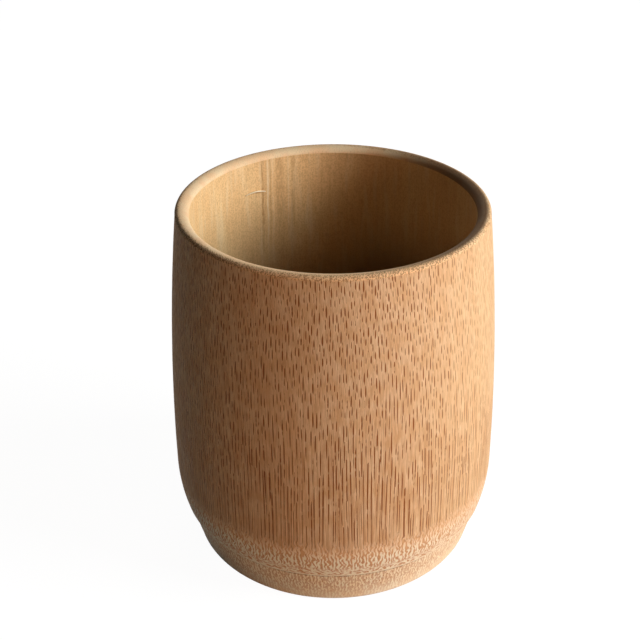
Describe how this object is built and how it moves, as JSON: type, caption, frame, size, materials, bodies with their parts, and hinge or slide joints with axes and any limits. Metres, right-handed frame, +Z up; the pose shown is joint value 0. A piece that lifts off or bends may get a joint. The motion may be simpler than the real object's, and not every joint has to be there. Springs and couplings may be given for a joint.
{
  "type": "bamboo cup",
  "caption": "Round drinking cup turned from a bamboo stem, with a bulging side, a soft rounded rim and a stepped ring foot below the node.",
  "frame": {"origin": "middle of the flat face that the cup stands on", "axes": "+Z up along the cup's axis, towards the mouth"},
  "size_m": [0.085, 0.085, 0.094],
  "materials": {
    "culm": "sanded bamboo, short dark vertical fibre bundles, satin",
    "diaphragm": "pale pithy bamboo partition, matt",
    "foot": "sanded bamboo, fine speckle, satin"
  },
  "bodies": {
    "root": {"culm_wall": "culm", "node_diaphragm": "diaphragm", "foot_ring": "foot"}
  },
  "joints": []
}
